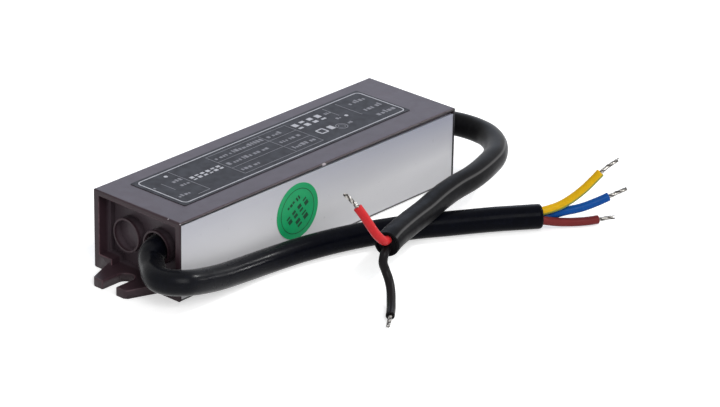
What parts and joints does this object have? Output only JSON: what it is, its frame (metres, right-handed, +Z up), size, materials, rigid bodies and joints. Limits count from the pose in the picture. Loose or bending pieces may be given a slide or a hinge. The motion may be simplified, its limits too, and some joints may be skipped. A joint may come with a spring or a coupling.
{
  "type": "waterproof power supply",
  "caption": "Slim potted mains to low voltage power supply in a moulded case with a folded aluminium channel, slotted feet and two short leads with stripped cores",
  "frame": {"origin": "centre of the bottom face, on the plane that the unit stands on", "axes": "+X runs along the body toward the output end, +Y across it, +Z up through the top face with the label"},
  "size_m": [0.1263, 0.0793, 0.0278],
  "materials": {
    "case_plastic": "satin moulded plastic, dark maroon brown",
    "aluminium_sheet": "satin rolled sheet",
    "label_film": "satin printed film",
    "green_sticker": "gloss printed film",
    "resin": "cured potting resin",
    "polyester_film": "thin yellow film",
    "board_laminate": "green solder mask",
    "tinned_metal": "tinned copper",
    "ceramic": "coated ceramic",
    "capacitor_case": "moulded plastic",
    "ferrite": "dull sintered ferrite",
    "copper_wire": "enamelled copper",
    "black_epoxy": "moulded epoxy",
    "capacitor_sleeve": "shrunk sleeve on a can",
    "bobbin_plastic": "moulded plastic",
    "white_epoxy": "moulded epoxy",
    "disc_coating": "dipped coating",
    "black_jacket": "soft glossy vinyl",
    "grey_jacket": "soft satin vinyl",
    "brown_insulation": "glossy vinyl",
    "blue_insulation": "glossy vinyl",
    "yellow_insulation": "glossy vinyl",
    "red_insulation": "glossy vinyl",
    "black_insulation": "glossy vinyl"
  },
  "bodies": {
    "root": {"case_moulding": "case_plastic", "aluminium_channel": "aluminium_sheet", "rating_label": "label_film", "inspection_sticker": "green_sticker", "potting_compound": "resin", "insulating_film": "polyester_film", "circuit_board": "board_laminate", "earth_contact_spring": "tinned_metal", "input_fuse": "ceramic", "x_capacitor": "capacitor_case", "input_choke_core": "ferrite", "input_choke_winding": "copper_wire", "bridge_rectifier": "black_epoxy", "bulk_capacitor": "capacitor_sleeve", "controller_chip": "black_epoxy", "snubber_resistor": "ceramic", "transformer_core": "ferrite", "transformer_bobbin": "bobbin_plastic", "transformer_winding": "copper_wire", "optocoupler": "white_epoxy", "y_capacitor": "disc_coating", "output_diode": "black_epoxy", "output_capacitor_1": "capacitor_sleeve", "output_capacitor_2": "capacitor_sleeve", "mains_tails": "brown_insulation", "output_tails": "red_insulation", "mains_cable": "black_jacket", "live_core": "brown_insulation", "neutral_core": "blue_insulation", "earth_core": "yellow_insulation", "live_strands": "tinned_metal", "neutral_strands": "tinned_metal", "earth_strands": "tinned_metal", "output_cable": "grey_jacket", "positive_core": "red_insulation", "negative_core": "black_insulation", "positive_strands": "tinned_metal", "negative_strands": "tinned_metal"}
  },
  "joints": []
}
